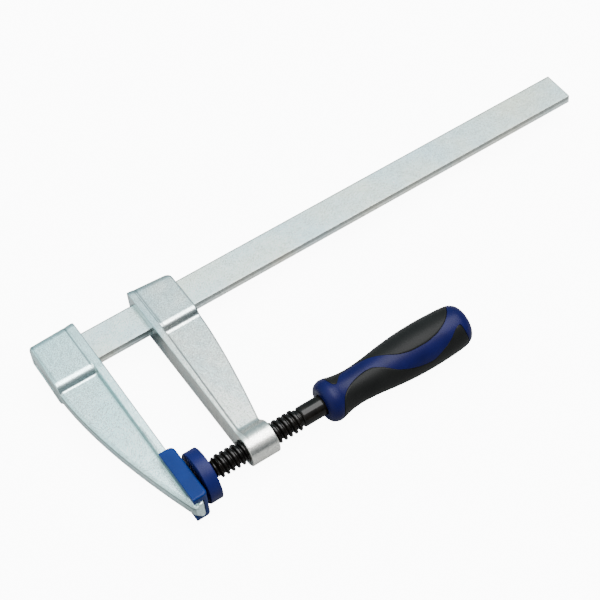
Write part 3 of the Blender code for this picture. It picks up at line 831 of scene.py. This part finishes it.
def make_core():
    """The hard core: collar, end and two ribbons at full height, pockets under the panels."""
    rows, across, ribbon = 150, 40, 14
    t, d = panel_stations(rows)
    nose = np.array([0, 0.25, 0.6, 1.0, 1.6, 2.3, 3.1, 4.0, 5.0, 6.0, 6.8])
    tail = np.array([108.9, 109.6, 110.5, 111.4, 112.2, 113.0, 113.7, 114.2, 114.6, 114.85, 115.0])
    distances = np.concatenate([nose, [PANEL_FROM - 0.02], d, [PANEL_TO + 0.02], tail])
    shares = np.concatenate([np.zeros(len(nose) + 1), t, np.ones(len(tail) + 1)])
    sunk = np.concatenate([np.zeros(len(nose) + 1), np.full(rows, 2.6), np.zeros(len(tail) + 1)])
    radius = handle_radius(distances)
    pocket = panel_angles(shares, across, 0.05, radius)
    strips = []
    low, high = pocket[:, 0], pocket[:, -1]
    for side in (0.0, math.pi):
        before = high - math.pi
        s = np.linspace(0, 1, ribbon)[None, :]
        band = before[:, None] + (low - before)[:, None] * s
        strips.append((band + side, np.zeros_like(band)))
        strips.append((pocket + side, np.ones_like(pocket)))
    angle = np.concatenate([strip[0] for strip in strips], axis=1)
    deep = np.concatenate([strip[1] for strip in strips], axis=1) * sunk[:, None]
    points = on_handle(distances[:, None] + 0 * angle, radius[:, None] - deep, angle)
    width = angle.shape[1]
    bore_radius = SHANK + 0.3
    bore = lathe_points([(HANDLE_X, bore_radius), (HANDLE_X + 10, bore_radius)], width)
    points = np.concatenate([bore[::-1], points], axis=0)
    faces = grid_faces(len(points), width, True)
    last = (len(points) - 1) * width
    faces.append(tuple(last + i for i in range(width)))
    faces.append(tuple(reversed(range(width))))
    points = points.reshape(-1, 3)
    obj = add_mesh("handle_body", points, faces, handle_blue, "screw", ["handle_core"])
    return clean_up(obj)


make_core()
make_panel("grip_front", "grip_panel_front", 0.0)
make_panel("grip_rear", "grip_panel_rear", math.pi)

# ---------------------------------------------------------------- floor, light, camera

# (sine of the elevation, brightness as a share of DOME_STRENGTH, share of blue)
DOME_STOPS = (
    (0.0, 0.035, 0.3),
    (0.2, 0.05, 0.3),
    (0.39, 0.09, 0.2),
    (0.66, 0.27, 0.1),
    (0.80, 0.62, 0.0),
    (1.0, 1.0, 0.0),
)
DOME_STRENGTH = 3.0
# (axis, value where the glow starts, value where it is full, colour)
SIDE_GLOWS = (("Y", -0.1, 1.0, (0.12, 0.14, 0.15)), ("X", -0.35, -0.8, (0.55, 0.57, 0.55)))
FAR_SIDE_TINT = (0.80, 1.0, 1.02)
# Brightness that only the camera sees: added to the floor, and behind everything
FLOOR_GLOW = 10.5
BACKDROP_GLOW = 11.0
FLOOR_HALF = 6.0
FLOOR_Z = -0.0186
LIGHT_TARGET = (0.12, 0.06, 0)


def make_floor():
    """A pale floor that looks lighter to the camera than it does in the metal, like a lit studio sweep."""
    m = Nodes("floor_white")
    grain = m.noise(30, 2, 0.5)
    m.set(Base_Color=m.mix(grain, (0.25, 0.25, 0.25), (0.27, 0.27, 0.27)), Roughness=0.8)
    bright = m.new("ShaderNodeEmission", Color=(1, 1, 1, 1), Strength=FLOOR_GLOW)
    both = m.new("ShaderNodeAddShader")
    m.tree.links.new(m.shader.outputs[0], both.inputs[0])
    m.tree.links.new(bright.outputs[0], both.inputs[1])
    path = m.new("ShaderNodeLightPath")
    mixed = m.new("ShaderNodeMixShader", Fac=path.outputs["Is Camera Ray"])
    m.tree.links.new(m.shader.outputs[0], mixed.inputs[1])
    m.tree.links.new(both.outputs[0], mixed.inputs[2])
    m.tree.links.new(mixed.outputs[0], m.tree.nodes["Material Output"].inputs["Surface"])
    corners = [(x * FLOOR_HALF, y * FLOOR_HALF, FLOOR_Z) for x, y in ((-1, -1), (1, -1), (1, 1), (-1, 1))]
    mesh = bpy.data.meshes.new("floor")
    mesh.from_pydata(corners, [], [(0, 1, 2, 3)])
    mesh.materials.append(m.material)
    floor = bpy.data.objects.new("floor", mesh)
    bpy.context.scene.collection.objects.link(floor)


def add_area(name, direction, distance, size, radiance):
    """A soft box seen from the object in that direction, with that brightness."""
    target = Vector(LIGHT_TARGET)
    data = bpy.data.lights.new(name, "AREA")
    data.shape = "RECTANGLE"
    data.size, data.size_y = size
    data.energy = radiance * math.pi * size[0] * size[1]
    lamp = bpy.data.objects.new(name, data)
    lamp.location = target + Vector(direction).normalized() * distance
    lamp.rotation_euler = (target - lamp.location).to_track_quat("-Z", "Y").to_euler()
    bpy.context.scene.collection.objects.link(lamp)


def make_world():
    """A studio dome, bright overhead and slightly blue towards the horizon. The camera sees plain white."""
    world = bpy.data.worlds.new("studio")
    bpy.context.scene.world = world
    world.use_nodes = True
    tree = world.node_tree
    nodes, links = tree.nodes, tree.links
    place = nodes.new("ShaderNodeTexCoord")
    split = nodes.new("ShaderNodeSeparateXYZ")
    links.new(place.outputs["Generated"], split.inputs[0])
    ramp = nodes.new("ShaderNodeValToRGB")
    ramp.color_ramp.interpolation = "EASE"
    elements = ramp.color_ramp.elements
    while len(elements) < len(DOME_STOPS):
        elements.new(0.5)
    for element, (at, level, blue) in zip(elements, DOME_STOPS):
        element.position = at
        element.color = (level * (1 - blue), level * (1 - 0.35 * blue), level, 1)
    links.new(split.outputs["Z"], ramp.inputs["Fac"])
    total = ramp.outputs["Color"]
    for axis, start, end, colour in SIDE_GLOWS:
        side = nodes.new("ShaderNodeMapRange")
        side.inputs["From Min"].default_value = start
        side.inputs["From Max"].default_value = end
        links.new(split.outputs[axis], side.inputs["Value"])
        glow = nodes.new("ShaderNodeVectorMath")
        glow.operation = "SCALE"
        glow.inputs[0].default_value = colour
        links.new(side.outputs["Result"], glow.inputs["Scale"])
        both = nodes.new("ShaderNodeVectorMath")
        both.operation = "ADD"
        links.new(total, both.inputs[0])
        links.new(glow.outputs["Vector"], both.inputs[1])
        total = both.outputs["Vector"]
    tone = nodes.new("ShaderNodeMapRange")
    tone.data_type = "FLOAT_VECTOR"
    links.new(split.outputs["Y"], tone.inputs[6])
    for socket, value in zip(tone.inputs[7:11], ((-0.1,) * 3, (0.5,) * 3, (1, 1, 1), FAR_SIDE_TINT)):
        socket.default_value = value
    tinted = nodes.new("ShaderNodeVectorMath")
    tinted.operation = "MULTIPLY"
    links.new(total, tinted.inputs[0])
    links.new(tone.outputs[1], tinted.inputs[1])
    dome = nodes["Background"]
    dome.inputs["Strength"].default_value = DOME_STRENGTH
    links.new(tinted.outputs["Vector"], dome.inputs["Color"])
    white = nodes.new("ShaderNodeBackground")
    white.inputs["Color"].default_value = (1, 1, 1, 1)
    white.inputs["Strength"].default_value = BACKDROP_GLOW
    path = nodes.new("ShaderNodeLightPath")
    mixed = nodes.new("ShaderNodeMixShader")
    links.new(path.outputs["Is Camera Ray"], mixed.inputs["Fac"])
    links.new(dome.outputs[0], mixed.inputs[1])
    links.new(white.outputs[0], mixed.inputs[2])
    links.new(mixed.outputs[0], nodes["World Output"].inputs["Surface"])


make_floor()
make_world()
add_area("overhead", (0.29, -0.06, 0.955), 2.4, (2.2, 1.9), 12.0)

camera_data = bpy.data.cameras.new("camera")
camera_data.lens = 103.19
camera_data.sensor_width = 36.0
camera_data.clip_start = 0.05
camera_data.clip_end = 20.0
camera = bpy.data.objects.new("camera", camera_data)
right = Vector((0.83174, -0.55128, -0.06566))
up = Vector((0.47253, 0.64087, 0.60498))
back = Vector((-0.29143, -0.53421, 0.79353))
turn = Matrix((right, up, back)).transposed()
camera.matrix_world = Matrix.Translation((-0.20751, -0.54625, 0.93032)) @ turn.to_4x4()
bpy.context.scene.collection.objects.link(camera)
bpy.context.scene.camera = camera
